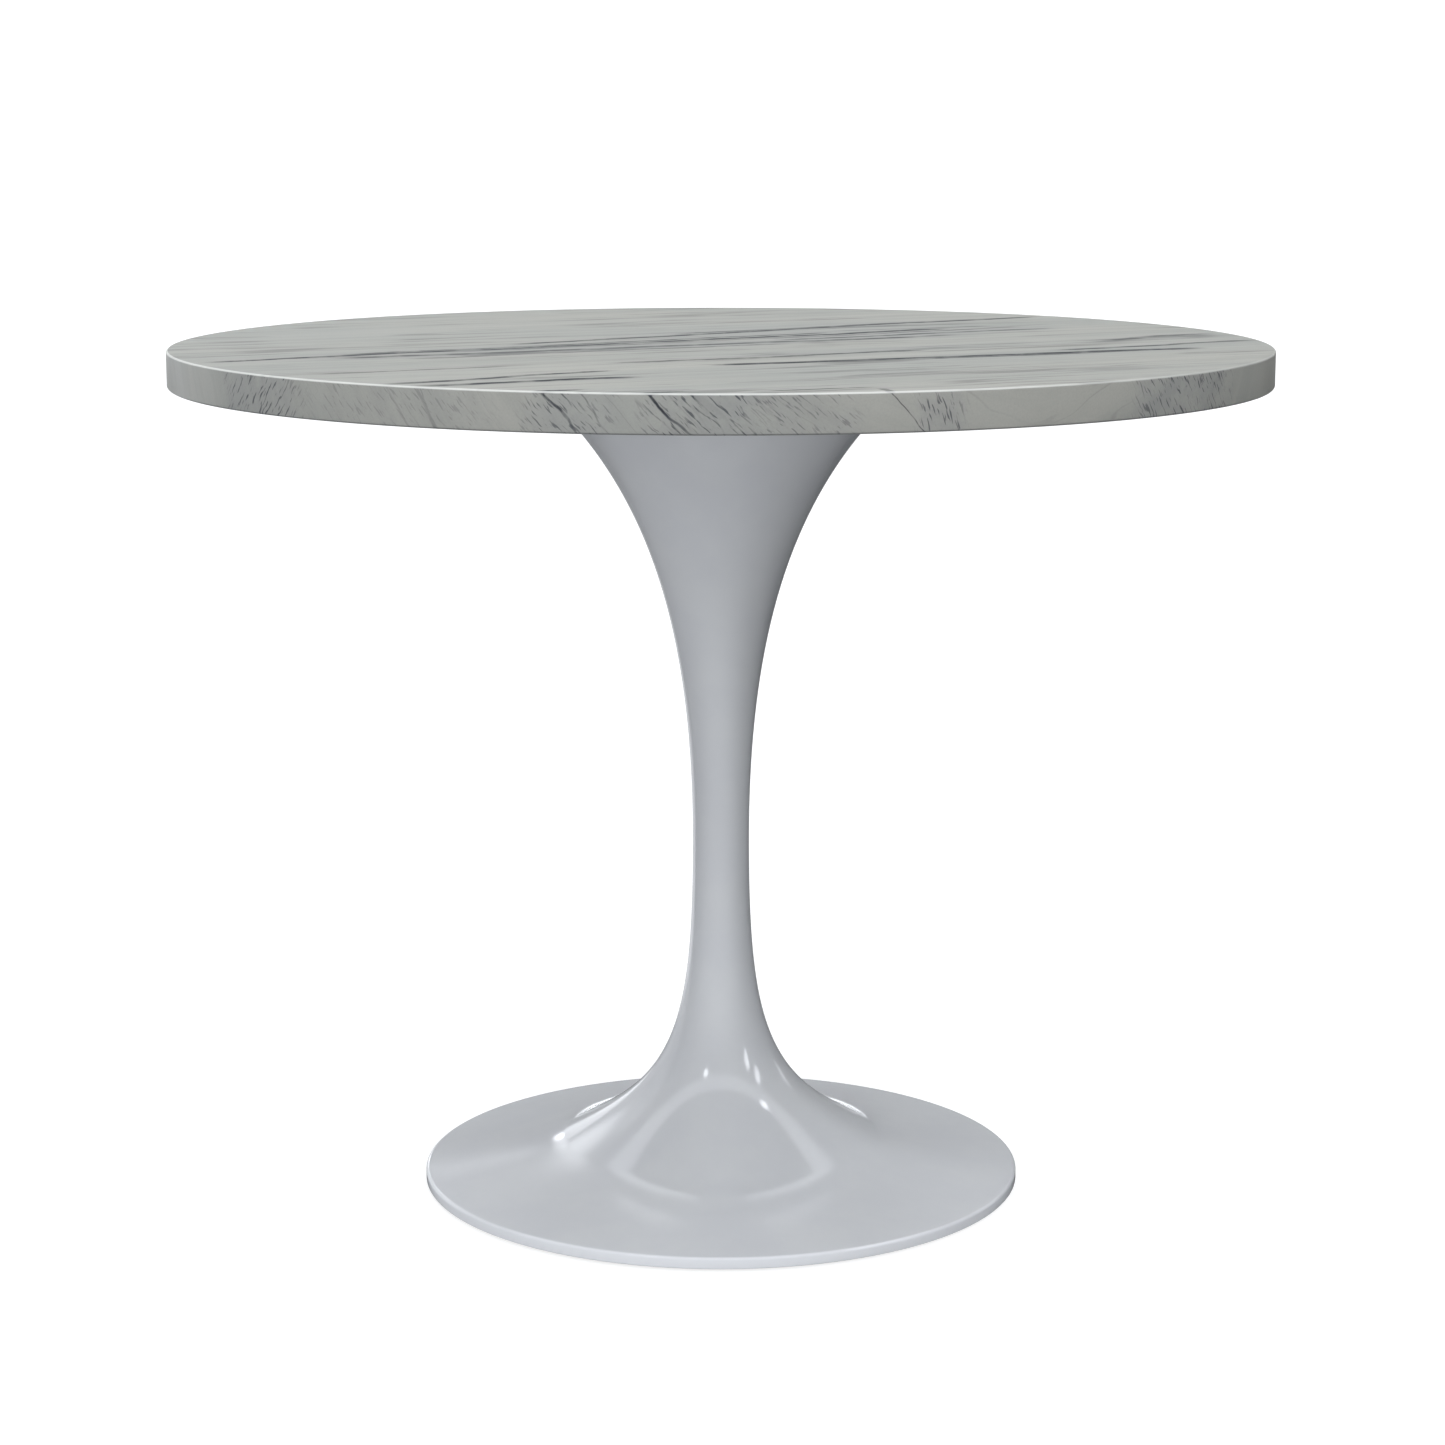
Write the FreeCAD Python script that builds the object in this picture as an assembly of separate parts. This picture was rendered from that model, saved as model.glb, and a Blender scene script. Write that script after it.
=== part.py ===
"""Round pedestal table: a marble slab on a hollow trumpet-shaped casting with a wide flat foot.

Millimetres, +Z up. The origin is on the floor, under the centre of the table.
The slab is screwed to a steel plate, the plate sits in the pedestal's mouth, and one long tie rod
pulls it down against the foot. An iron ballast ring and four levelling glides are under the foot.
"""

import os

import FreeCAD
import Part

from math import cos, radians, sin, tan, sqrt

# ---- driving dimensions of the whole table ----
TOP_DIAMETER = 914.4            # a 36 inch top
TABLE_HEIGHT = 720.0
TOP_THICKNESS = 30.0
TOP_ARRIS = 2.0                 # radius of the eased edges of the stone
FOOT_DIAMETER = 512.0
RIM_CLEARANCE = 2.0             # the foot's rim hangs this far above the floor
RIM_ROUND = 3.0
RIM_LIP = 6.0                   # thickness of the rim's down-turned lip
RIM_LIP_ROUND = 1.0
CASTING_WALL = 5.0

# ---- the pedestal's outline: two trumpets that meet at the waist, and the foot, all Bezier curves ----
WAIST_RADIUS = 24.0
WAIST_HEIGHT = 300.0
FLARE_FOOT = (134.5, 36.5)      # radius and height where the trumpet runs out into the foot
FLARE_FOOT_SLOPE = 28.0         # degrees from the floor
FLARE_FOOT_PULL = 50.0
FLARE_KNEE = (37.5, 91.0)       # the pole that draws the lower flare into the corner
WAIST_PULL_DOWN = 162.5
FOOT_PULL_IN = 21.0             # how firmly the foot leaves the trumpet, and meets its rim
FOOT_PULL_OUT = 36.0
RIM_HEIGHT = 11.9
RIM_SLOPE = 8.7                 # degrees the foot still falls at its rim
MOUTH_RADIUS = 158.5
MOUTH_GAP = 1.0                 # shadow gap between the mouth and the stone
MOUTH_SLOPE = 41.5
MOUTH_PULL = 117.0
WAIST_PULL_UP = 199.0

# ---- top plate, its fasteners and the tie rod ----
GASKET_THICKNESS = 3.0
PLATE_THICKNESS = 6.0
PLATE_RADIUS = 140.0
LAND_THICKNESS = 6.0
LAND_INNER_RADIUS = 112.0
PLATE_SCREW_RING = 90.0
PLATE_SCREW_COUNT = 6
INSERT_LENGTH = 12.0
INSERT_RADIUS = 5.0
SCREW_LENGTH = 19.0
M6 = 3.0                        # thread radii
M8 = 4.0
M16 = 8.0
M4 = 2.0
HUB_RADIUS = 22.0
HUB_LENGTH = 28.0
M16_NUT_FLATS = 24.0
M16_NUT_HEIGHT = 13.0
THREAD_GAP = 0.05               # radial gap of a thread drawn as a plain cylinder
HOLE_GAP = 0.3                  # radial gap of a screw's clearance hole

# ---- inside the foot ----
DIAPHRAGM_BOTTOM = 60.0
DIAPHRAGM_THICKNESS = 6.0
BALLAST_BORE = 40.0
BALLAST_BOTTOM = 16.0
BALLAST_BOLT_RING = 56.0
BALLAST_BOLT_COUNT = 3
BALLAST_BOLT_SEAT = 40.0        # height of the face that the bolt heads press on
BALLAST_BOLT_LENGTH = 32.0
BALLAST_BOLT_BOSS = 9.0
ROD_WASHER = (30.0, 4.0)        # radius, thickness
SPRING_WASHER = (13.0, 3.5)
ROD_TAIL = 6.0                  # thread left below the nut
RIB_COUNT = 8
RIB_THICKNESS = 5.0
RIB_BOTTOM = 5.0
WEB_TOP = 30.0                  # ribs and bosses are drawn up to here and end in the foot's wall
COVER_RADIUS = 158.0
COVER_BOTTOM = 6.0
COVER_THICKNESS = 2.0
COVER_SCREW_RING = 150.0
COVER_SCREW_COUNT = 4
COVER_BOSS = 6.0
COVER_HOLE_TOP = 14.5
ACCESS_RADIUS = 24.0

# ---- levelling glides ----
GLIDE_COUNT = 4
GLIDE_RING = 205.0
GLIDE_FIRST_ANGLE = 45.0
GLIDE_BOSS = 11.0
GLIDE_BOSS_BOTTOM = 5.2
GLIDE_HOLE_TOP = 12.8
BUSH_RADIUS = 6.0
PAD_RADIUS = 13.0
PAD_HEIGHT = 3.6
PAD_CHAMFER = 0.8
PAD_FLOOR = 1.4                 # thickness under the stud's flange
PAD_ACCESS = 3.0                # hole under the stud for the hex key
FLANGE_RADIUS = 5.0
FLANGE_HEIGHT = 1.3
NECK_RADIUS = 3.5
STUD_TOP = 11.4
GLIDE_GAP = 0.05

# ---- levels that follow from them ----
SLAB_BOTTOM = TABLE_HEIGHT - TOP_THICKNESS
PLATE_TOP = SLAB_BOTTOM - GASKET_THICKNESS
PLATE_BOTTOM = PLATE_TOP - PLATE_THICKNESS
MOUTH_HEIGHT = SLAB_BOTTOM - MOUTH_GAP
DIAPHRAGM_TOP = DIAPHRAGM_BOTTOM + DIAPHRAGM_THICKNESS
FOOT_RADIUS = FOOT_DIAMETER / 2


# ---- helpers ----
def point(radius, height):
    """A point of an outline in the XZ plane."""
    return FreeCAD.Vector(radius, 0, height)


def line(start, end):
    return Part.LineSegment(start, end).toShape()


def arc(centre, radius, first, last):
    """Arc in the XZ plane; angles in degrees from +X towards +Z."""
    at = [centre + radius * point(cos(radians(a)), sin(radians(a)))
          for a in (first, (first + last) / 2, last)]
    return Part.Arc(*at).toShape()


def bezier(poles):
    curve = Part.BezierCurve()
    curve.setPoles(poles)
    return curve.toShape()


def polyline(points):
    return [line(a, b) for a, b in zip(points, points[1:])]


def ends(edge):
    """First and last point of an edge, along its own direction."""
    return edge.valueAt(edge.FirstParameter), edge.valueAt(edge.LastParameter)


def joined(edges):
    """Edges in order, with a straight line wherever one doesn't start where the last ended."""
    chain = []
    for edge in edges:
        if chain and ends(chain[-1])[1].distanceToPoint(ends(edge)[0]) > 1e-6:
            chain.append(line(ends(chain[-1])[1], ends(edge)[0]))
        chain.append(edge)
    return chain


def turned(edges):
    """Solid of revolution about Z of a closed outline."""
    chain = joined(edges)
    chain.append(line(ends(chain[-1])[1], ends(chain[0])[0]))
    face = Part.Face(Part.Wire(chain))
    return face.revolve(FreeCAD.Vector(0, 0, 0), FreeCAD.Vector(0, 0, 1), 360)


def turned_points(pairs):
    """Solid of revolution of a polygon given as (radius, height) pairs."""
    return turned(polyline([point(r, z) for r, z in pairs]))


def cylinder(radius, bottom, top):
    return Part.makeCylinder(radius, top - bottom, FreeCAD.Vector(0, 0, bottom))


def tube(outer, inner, bottom, top):
    return cylinder(outer, bottom, top).cut(cylinder(inner, bottom, top))


def hex_prism(flats, bottom, top):
    corner = flats / sqrt(3)
    corners = [FreeCAD.Vector(corner * cos(radians(60 * i)), corner * sin(radians(60 * i)), bottom)
               for i in range(7)]
    return Part.Face(Part.makePolygon(corners)).extrude(FreeCAD.Vector(0, 0, top - bottom))


def hex_nut(flats, bore, bottom, top):
    """Hexagon nut with its corners chamfered at both faces."""
    corner = flats / sqrt(3)
    chamfer = corner - flats / 2
    cone = turned_points([(0, bottom), (flats / 2, bottom), (corner, bottom + chamfer / 2),
                          (corner, top - chamfer / 2), (flats / 2, top), (0, top)])
    return hex_prism(flats, bottom, top).common(cone).cut(cylinder(bore, bottom, top))


def socket_screw(thread, head_radius, head_height, key_flats, seat, length):
    """Screw pointing up: its head hangs below the seat and its shank rises from it."""
    head = turned_points([(0, seat - head_height), (head_radius - 1, seat - head_height),
                          (head_radius, seat - head_height + 1), (head_radius, seat), (0, seat)])
    shank = turned_points([(0, seat), (thread, seat), (thread, seat + length - 1),
                           (thread - 1, seat + length), (0, seat + length)])
    key = hex_prism(key_flats, seat - head_height, seat - head_height / 2)
    return head.fuse(shank).cut(key)


def at_angle(shape, ring, angle):
    """A copy moved out to a ring radius and turned to an angle about Z."""
    copy = shape.copy()
    copy.translate(FreeCAD.Vector(ring, 0, 0))
    copy.rotate(FreeCAD.Vector(0, 0, 0), FreeCAD.Vector(0, 0, 1), angle)
    return copy


def around(shape, ring, count, first=0.0):
    """Equally spaced copies on a ring."""
    return [at_angle(shape, ring, first + 360 * i / count) for i in range(count)]


# ---- the top ----
def table_top():
    """Stone slab with eased arrises and blind holes for its threaded inserts."""
    radius = TOP_DIAMETER / 2
    inner = radius - TOP_ARRIS
    slab = turned([
        line(point(0, SLAB_BOTTOM), point(inner, SLAB_BOTTOM)),
        arc(point(inner, SLAB_BOTTOM + TOP_ARRIS), TOP_ARRIS, -90, 0),
        arc(point(inner, TABLE_HEIGHT - TOP_ARRIS), TOP_ARRIS, 0, 90),
        line(point(inner, TABLE_HEIGHT), point(0, TABLE_HEIGHT)),
    ])
    hole = cylinder(INSERT_RADIUS + 0.1, SLAB_BOTTOM, SLAB_BOTTOM + INSERT_LENGTH + 1)
    return slab.cut(around(hole, PLATE_SCREW_RING, PLATE_SCREW_COUNT))


def top_inserts():
    """Brass sleeves bonded into the stone, threaded for the plate screws."""
    sleeve = tube(INSERT_RADIUS, M6 + THREAD_GAP, SLAB_BOTTOM, SLAB_BOTTOM + INSERT_LENGTH)
    return around(sleeve, PLATE_SCREW_RING, PLATE_SCREW_COUNT)


def top_gasket():
    """Rubber sheet that lets the stone bed evenly on the steel."""
    sheet = cylinder(PLATE_RADIUS - 2, PLATE_TOP, SLAB_BOTTOM)
    hole = cylinder(M6 + HOLE_GAP, PLATE_TOP, SLAB_BOTTOM)
    return sheet.cut(around(hole, PLATE_SCREW_RING, PLATE_SCREW_COUNT))


def top_plate():
    """Round steel plate that carries the stone and sits on the land in the pedestal's mouth."""
    plate = turned_points([(0, PLATE_BOTTOM), (PLATE_RADIUS - 1, PLATE_BOTTOM),
                           (PLATE_RADIUS, PLATE_BOTTOM + 1), (PLATE_RADIUS, PLATE_TOP - 1),
                           (PLATE_RADIUS - 1, PLATE_TOP), (0, PLATE_TOP)])
    hole = cylinder(M6 + HOLE_GAP, PLATE_BOTTOM, PLATE_TOP)
    return plate.cut(around(hole, PLATE_SCREW_RING, PLATE_SCREW_COUNT))


WASHER_THICKNESS = 1.2
SCREW_SEAT = PLATE_BOTTOM - WASHER_THICKNESS


def plate_washers():
    washer = tube(7.0, M6 + HOLE_GAP, SCREW_SEAT, PLATE_BOTTOM)
    return around(washer, PLATE_SCREW_RING, PLATE_SCREW_COUNT)


def plate_screws():
    screw = socket_screw(M6, 5.5, 3.3, 4.0, SCREW_SEAT, SCREW_LENGTH)
    return around(screw, PLATE_SCREW_RING, PLATE_SCREW_COUNT)


def plate_hub():
    """Threaded boss welded under the plate, which takes the tie rod."""
    bottom = PLATE_BOTTOM - HUB_LENGTH
    body = turned_points([(0, bottom), (HUB_RADIUS - 2, bottom), (HUB_RADIUS, bottom + 2),
                          (HUB_RADIUS, PLATE_BOTTOM), (0, PLATE_BOTTOM)])
    return body.cut(cylinder(M16 + THREAD_GAP, bottom, PLATE_BOTTOM))


def hub_jam_nut():
    """Locks the tie rod in the hub."""
    top = PLATE_BOTTOM - HUB_LENGTH
    return hex_nut(M16_NUT_FLATS, M16 + THREAD_GAP, top - M16_NUT_HEIGHT, top)


# ---- the tie rod and its lower fastening ----
WASHER_BOTTOM = DIAPHRAGM_BOTTOM - ROD_WASHER[1]
SPRING_BOTTOM = WASHER_BOTTOM - SPRING_WASHER[1]
NUT_BOTTOM = SPRING_BOTTOM - M16_NUT_HEIGHT


def tie_rod():
    """Long threaded rod from the hub down through the hollow stem to the foot."""
    bottom = NUT_BOTTOM - ROD_TAIL
    top = PLATE_BOTTOM - 2
    chamfer = 1.5
    return turned_points([(0, bottom), (M16 - chamfer, bottom), (M16, bottom + chamfer),
                          (M16, top - chamfer), (M16 - chamfer, top), (0, top)])


def rod_washer():
    return tube(ROD_WASHER[0], M16 + HOLE_GAP, WASHER_BOTTOM, DIAPHRAGM_BOTTOM)


def spring_washer():
    """Split lock washer."""
    ring = tube(SPRING_WASHER[0], M16 + HOLE_GAP, SPRING_BOTTOM, WASHER_BOTTOM)
    split = Part.makeBox(SPRING_WASHER[0] + 1, 2, SPRING_WASHER[1], FreeCAD.Vector(0, -1, SPRING_BOTTOM))
    return ring.cut(split)


def tie_nut():
    return hex_nut(M16_NUT_FLATS, M16 + THREAD_GAP, NUT_BOTTOM, SPRING_BOTTOM)


# ---- the pedestal casting ----
def foot_poles():
    """Poles of the foot's upper face, from the rim's round in to the trumpet."""
    rim = radians(RIM_SLOPE)
    flare = radians(FLARE_FOOT_SLOPE)
    outer = point(FOOT_RADIUS - RIM_ROUND + RIM_ROUND * sin(rim), RIM_HEIGHT)
    return [outer,
            outer + FOOT_PULL_OUT * point(-cos(rim), sin(rim)),
            point(*FLARE_FOOT) - FOOT_PULL_IN * point(-cos(flare), sin(flare)),
            point(*FLARE_FOOT)]


def lower_poles():
    """Poles of the outline from the trumpet's foot up to the waist."""
    start = point(*FLARE_FOOT)
    slope = radians(FLARE_FOOT_SLOPE)
    return [start,
            start + FLARE_FOOT_PULL * point(-cos(slope), sin(slope)),
            point(*FLARE_KNEE),
            point(WAIST_RADIUS, WAIST_HEIGHT - WAIST_PULL_DOWN),
            point(WAIST_RADIUS, WAIST_HEIGHT)]


def upper_poles():
    """Poles of the outline from the waist up to the mouth."""
    mouth = point(MOUTH_RADIUS, MOUTH_HEIGHT)
    slope = radians(MOUTH_SLOPE)
    return [point(WAIST_RADIUS, WAIST_HEIGHT),
            point(WAIST_RADIUS, WAIST_HEIGHT + WAIST_PULL_UP),
            mouth - MOUTH_PULL * point(cos(slope), sin(slope)),
            mouth]


def inset_poles(poles, wall):
    """Poles moved inwards, each square to the legs of the control polygon beside it."""
    inset = []
    for i, pole in enumerate(poles):
        before = poles[max(i - 1, 0)]
        after = poles[min(i + 1, len(poles) - 1)]
        along = (after - before).normalize()
        inset.append(pole - wall * point(along.z, -along.x))
    return inset


def under_foot_poles():
    """Poles of the foot's lower face, from the trumpet out to the rim's lip."""
    rim = radians(RIM_SLOPE)
    inner, near = inset_poles(foot_poles(), CASTING_WALL)[:1:-1]
    lip = FOOT_RADIUS - RIM_LIP
    edge = foot_poles()[0]
    end = point(lip, edge.z + (edge.x - lip) * tan(rim) - CASTING_WALL / cos(rim))
    return [inner, near, end + FOOT_PULL_OUT * point(-cos(rim), sin(rim)), end]


def outer_outline():
    """Edges of the casting's outside, from the rim's lip up to the mouth."""
    rim_start = 90 - RIM_SLOPE
    rim_centre = point(FOOT_RADIUS - RIM_ROUND, RIM_HEIGHT - RIM_ROUND * sin(radians(rim_start)))
    lip_centre = point(FOOT_RADIUS - RIM_LIP_ROUND, RIM_CLEARANCE + RIM_LIP_ROUND)
    return [arc(lip_centre, RIM_LIP_ROUND, -90, 0),
            arc(rim_centre, RIM_ROUND, 0, rim_start),
            bezier(foot_poles()),
            bezier(lower_poles()),
            bezier(upper_poles())]


def inner_outline():
    """Edges of the casting's inside, from the mouth down to the rim's lip."""
    upper = bezier(list(reversed(inset_poles(upper_poles(), CASTING_WALL))))
    lower = bezier(list(reversed(inset_poles(lower_poles(), CASTING_WALL))))
    underside = bezier(under_foot_poles())
    return [upper, lower, underside,
            line(ends(underside)[1], point(FOOT_RADIUS - RIM_LIP, RIM_CLEARANCE))]


def trimmed_mouth(edges, height):
    """Level cut for the mouth, so that the rim's top face is flat."""
    return turned(edges).cut(cylinder(2 * MOUTH_RADIUS, height, height + 50))


def pedestal_core():
    """The outside shape filled solid, down to the level of the rim's lip."""
    outside = outer_outline()
    return turned([line(point(0, RIM_CLEARANCE), ends(outside[0])[0])] + outside
                  + [line(ends(outside[-1])[1], point(0, MOUTH_HEIGHT))])


def pedestal():
    """One hollow casting: disc foot, trumpet stem, and the webs and bosses inside it."""
    shell = trimmed_mouth(outer_outline() + inner_outline(), MOUTH_HEIGHT)
    core = pedestal_core()
    land = cylinder(PLATE_RADIUS + 15, PLATE_BOTTOM - LAND_THICKNESS, PLATE_BOTTOM)
    land = land.cut(cylinder(LAND_INNER_RADIUS, PLATE_BOTTOM - LAND_THICKNESS, PLATE_BOTTOM))
    diaphragm = cylinder(100, DIAPHRAGM_BOTTOM, DIAPHRAGM_TOP)
    bolt_boss = cylinder(BALLAST_BOLT_BOSS, DIAPHRAGM_BOTTOM, DIAPHRAGM_TOP + 10)
    bolt_bosses = around(bolt_boss, BALLAST_BOLT_RING, BALLAST_BOLT_COUNT)
    rib = Part.makeBox(FOOT_RADIUS - RIM_LIP / 2 - COVER_RADIUS - 2, RIB_THICKNESS, WEB_TOP - RIB_BOTTOM,
                       FreeCAD.Vector(0, -RIB_THICKNESS / 2, RIB_BOTTOM))
    ribs = around(rib, COVER_RADIUS + 2, RIB_COUNT, 180 / RIB_COUNT)
    cover_boss = cylinder(COVER_BOSS, COVER_BOTTOM + COVER_THICKNESS, WEB_TOP)
    cover_bosses = around(cover_boss, COVER_SCREW_RING, COVER_SCREW_COUNT)
    glide_boss = cylinder(GLIDE_BOSS, GLIDE_BOSS_BOTTOM, WEB_TOP)
    glide_bosses = around(glide_boss, GLIDE_RING, GLIDE_COUNT, GLIDE_FIRST_ANGLE)
    webs = land.fuse([diaphragm] + bolt_bosses + ribs + cover_bosses + glide_bosses)
    casting = shell.fuse(webs.common(core))

    bolt_hole = cylinder(M8 + THREAD_GAP, DIAPHRAGM_BOTTOM, DIAPHRAGM_TOP + 8)
    cover_hole = cylinder(M4 + THREAD_GAP, COVER_BOTTOM, COVER_HOLE_TOP)
    glide_hole = cylinder(BUSH_RADIUS + 0.1, GLIDE_BOSS_BOTTOM, GLIDE_HOLE_TOP)
    holes = [cylinder(M16 + 1, DIAPHRAGM_BOTTOM, DIAPHRAGM_TOP)]
    holes += around(bolt_hole, BALLAST_BOLT_RING, BALLAST_BOLT_COUNT)
    holes += around(cover_hole, COVER_SCREW_RING, COVER_SCREW_COUNT)
    holes += around(glide_hole, GLIDE_RING, GLIDE_COUNT, GLIDE_FIRST_ANGLE)
    return casting.cut(holes)


# ---- inside the foot ----
def ballast_ring():
    """Iron casting that follows the inside of the flare and hangs under the diaphragm."""
    flank = Part.Arc(point(138, 18), point(106, 35), point(80, 56)).toShape()
    body = turned([line(point(BALLAST_BORE, BALLAST_BOTTOM), point(138, BALLAST_BOTTOM)), flank,
                   line(point(80, DIAPHRAGM_BOTTOM), point(BALLAST_BORE, DIAPHRAGM_BOTTOM))])
    hole = cylinder(M8 + HOLE_GAP, BALLAST_BOTTOM, DIAPHRAGM_BOTTOM)
    pocket = cylinder(8.0, BALLAST_BOTTOM, BALLAST_BOLT_SEAT)
    return body.cut(around(hole.fuse(pocket), BALLAST_BOLT_RING, BALLAST_BOLT_COUNT))


def ballast_bolts():
    bolt = socket_screw(M8, 6.5, 8.0, 6.0, BALLAST_BOLT_SEAT, BALLAST_BOLT_LENGTH)
    return around(bolt, BALLAST_BOLT_RING, BALLAST_BOLT_COUNT)


def base_cover():
    """Sheet cover under the ballast, with a hole in the middle for the nut spanner."""
    sheet = tube(COVER_RADIUS, ACCESS_RADIUS, COVER_BOTTOM, COVER_BOTTOM + COVER_THICKNESS)
    hole = cylinder(M4 + HOLE_GAP, COVER_BOTTOM, COVER_BOTTOM + COVER_THICKNESS)
    return sheet.cut(around(hole, COVER_SCREW_RING, COVER_SCREW_COUNT))


def cover_screws():
    screw = socket_screw(M4, 4.0, 2.4, 2.5, COVER_BOTTOM, 8.0)
    return around(screw, COVER_SCREW_RING, COVER_SCREW_COUNT)


def access_plug():
    """Push-in cap for the cover's middle hole."""
    flange = COVER_BOTTOM - 1.6
    return turned_points([(0, flange), (ACCESS_RADIUS + 2.2, flange), (ACCESS_RADIUS + 3, flange + 0.8),
                          (ACCESS_RADIUS + 3, COVER_BOTTOM), (ACCESS_RADIUS - 0.2, COVER_BOTTOM),
                          (ACCESS_RADIUS - 0.2, COVER_BOTTOM + 5), (ACCESS_RADIUS - 2.2, COVER_BOTTOM + 5),
                          (ACCESS_RADIUS - 2.2, COVER_BOTTOM), (0, COVER_BOTTOM)])


# ---- levelling glides ----
def glide_bushes():
    """Brass bushes pressed into the foot's bosses, threaded for the glide studs."""
    bush = tube(BUSH_RADIUS, M8 + THREAD_GAP, GLIDE_BOSS_BOTTOM, GLIDE_HOLE_TOP - 0.2)
    return around(bush, GLIDE_RING, GLIDE_COUNT, GLIDE_FIRST_ANGLE)


def glide_pad():
    """Nylon disc that stands on the floor and holds the stud's flange captive."""
    pocket_top = PAD_FLOOR + FLANGE_HEIGHT + 2 * GLIDE_GAP
    body = turned_points([(PAD_ACCESS, 0), (PAD_RADIUS - PAD_CHAMFER, 0), (PAD_RADIUS, PAD_CHAMFER),
                          (PAD_RADIUS, PAD_HEIGHT - PAD_CHAMFER), (PAD_RADIUS - PAD_CHAMFER, PAD_HEIGHT),
                          (PAD_ACCESS, PAD_HEIGHT)])
    pocket = cylinder(FLANGE_RADIUS + GLIDE_GAP, PAD_FLOOR, pocket_top)
    neck = cylinder(NECK_RADIUS + GLIDE_GAP, pocket_top, PAD_HEIGHT)
    return body.cut([pocket, neck])


def glide_stud():
    """Threaded stud with a captive flange and a hex key socket in its lower end."""
    flange_bottom = PAD_FLOOR + GLIDE_GAP
    flange_top = flange_bottom + FLANGE_HEIGHT
    neck_top = PAD_HEIGHT + 0.4
    chamfer = 0.8
    body = turned_points([(0, flange_bottom), (FLANGE_RADIUS, flange_bottom), (FLANGE_RADIUS, flange_top),
                          (NECK_RADIUS, flange_top), (NECK_RADIUS, neck_top), (M8, neck_top),
                          (M8, STUD_TOP - chamfer), (M8 - chamfer, STUD_TOP), (0, STUD_TOP)])
    return body.cut(hex_prism(4.0, flange_bottom, flange_bottom + 2.5))


def nodes():
    """Every sub-part by its node name."""
    parts = {
        "table_top": table_top(),
        "top_inserts": top_inserts(),
        "top_gasket": top_gasket(),
        "top_plate": top_plate(),
        "plate_washers": plate_washers(),
        "plate_screws": plate_screws(),
        "plate_hub": plate_hub(),
        "hub_jam_nut": hub_jam_nut(),
        "tie_rod": tie_rod(),
        "pedestal": pedestal(),
        "rod_washer": rod_washer(),
        "spring_washer": spring_washer(),
        "tie_nut": tie_nut(),
        "ballast_ring": ballast_ring(),
        "ballast_bolts": ballast_bolts(),
        "base_cover": base_cover(),
        "cover_screws": cover_screws(),
        "access_plug": access_plug(),
        "glide_bushes": glide_bushes(),
    }
    for i in range(GLIDE_COUNT):
        angle = GLIDE_FIRST_ANGLE + 360 * i / GLIDE_COUNT
        parts[f"glide_pad_{i + 1}"] = at_angle(glide_pad(), GLIDE_RING, angle)
        parts[f"glide_stud_{i + 1}"] = at_angle(glide_stud(), GLIDE_RING, angle)
    return parts


os.makedirs("parts", exist_ok=True)
for name, shape in nodes().items():
    if isinstance(shape, list):
        shape = Part.makeCompound(shape)
    print(f"{name:16s} solids {len(shape.Solids)}  valid {shape.isValid()}  "
          f"volume {shape.Volume / 1000:9.1f} cm3")
    shape.exportStep(f"parts/{name}.step")
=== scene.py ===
# %% [markdown]
# # A round pedestal table
#
# The real table is a slab of grey-veined marble on a hollow metal pedestal, which is cast in one piece,
# ground smooth and sprayed with a glossy white enamel. The CAD model already holds every piece in its
# place and size. This lesson gives the two large pieces meshes that reflect cleanly, gives every piece
# its finish, and lights the table in a plain white studio.
#
# Lengths are in metres, +Z is up, and the origin is on the floor under the middle of the table.

# %% The frame
from math import cos, pi, radians, sin, tan

import bmesh
import bpy
from mathutils import Matrix, Vector


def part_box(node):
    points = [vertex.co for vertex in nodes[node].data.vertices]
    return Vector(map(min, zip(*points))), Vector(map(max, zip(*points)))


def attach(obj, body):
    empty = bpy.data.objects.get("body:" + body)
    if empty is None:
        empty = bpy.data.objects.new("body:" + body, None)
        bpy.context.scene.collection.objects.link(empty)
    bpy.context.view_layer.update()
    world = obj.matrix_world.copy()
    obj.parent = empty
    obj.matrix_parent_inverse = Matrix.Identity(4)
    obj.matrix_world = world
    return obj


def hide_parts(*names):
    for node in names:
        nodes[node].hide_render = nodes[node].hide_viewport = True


MM = 0.001
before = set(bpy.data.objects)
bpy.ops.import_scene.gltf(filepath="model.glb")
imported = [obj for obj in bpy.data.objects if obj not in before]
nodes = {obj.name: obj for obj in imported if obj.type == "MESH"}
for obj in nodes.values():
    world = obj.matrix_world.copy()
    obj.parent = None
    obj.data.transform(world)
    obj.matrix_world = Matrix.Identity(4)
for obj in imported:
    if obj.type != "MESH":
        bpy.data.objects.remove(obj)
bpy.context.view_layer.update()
TABLE = "table"          # the body that the slab and the pedestal belong to

# %% [markdown]
# ## The camera
#
# The table is seen from the front, from a little above its top, through a long lens. The low camera makes
# the slab a very flat ellipse, and the long lens keeps the foot and the slab in true proportion. The camera
# is tilted down instead of shifted, so upright lines close in slightly towards the floor.

# %% Camera
CAMERA_PLACE = (1.3 * MM, -2861.8 * MM, 937.8 * MM)
CAMERA_TILT = radians(10.67)     # downwards
camera_data = bpy.data.cameras.new("camera")
camera_data.sensor_width = 36.0
camera_data.lens = 85.24
camera = bpy.data.objects.new("camera", camera_data)
camera.location = CAMERA_PLACE
camera.rotation_euler = (pi / 2 - CAMERA_TILT, 0, 0)
bpy.context.scene.collection.objects.link(camera)
bpy.context.scene.camera = camera
print("camera looks down", round(CAMERA_TILT * 180 / pi, 2), "degrees")

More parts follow.
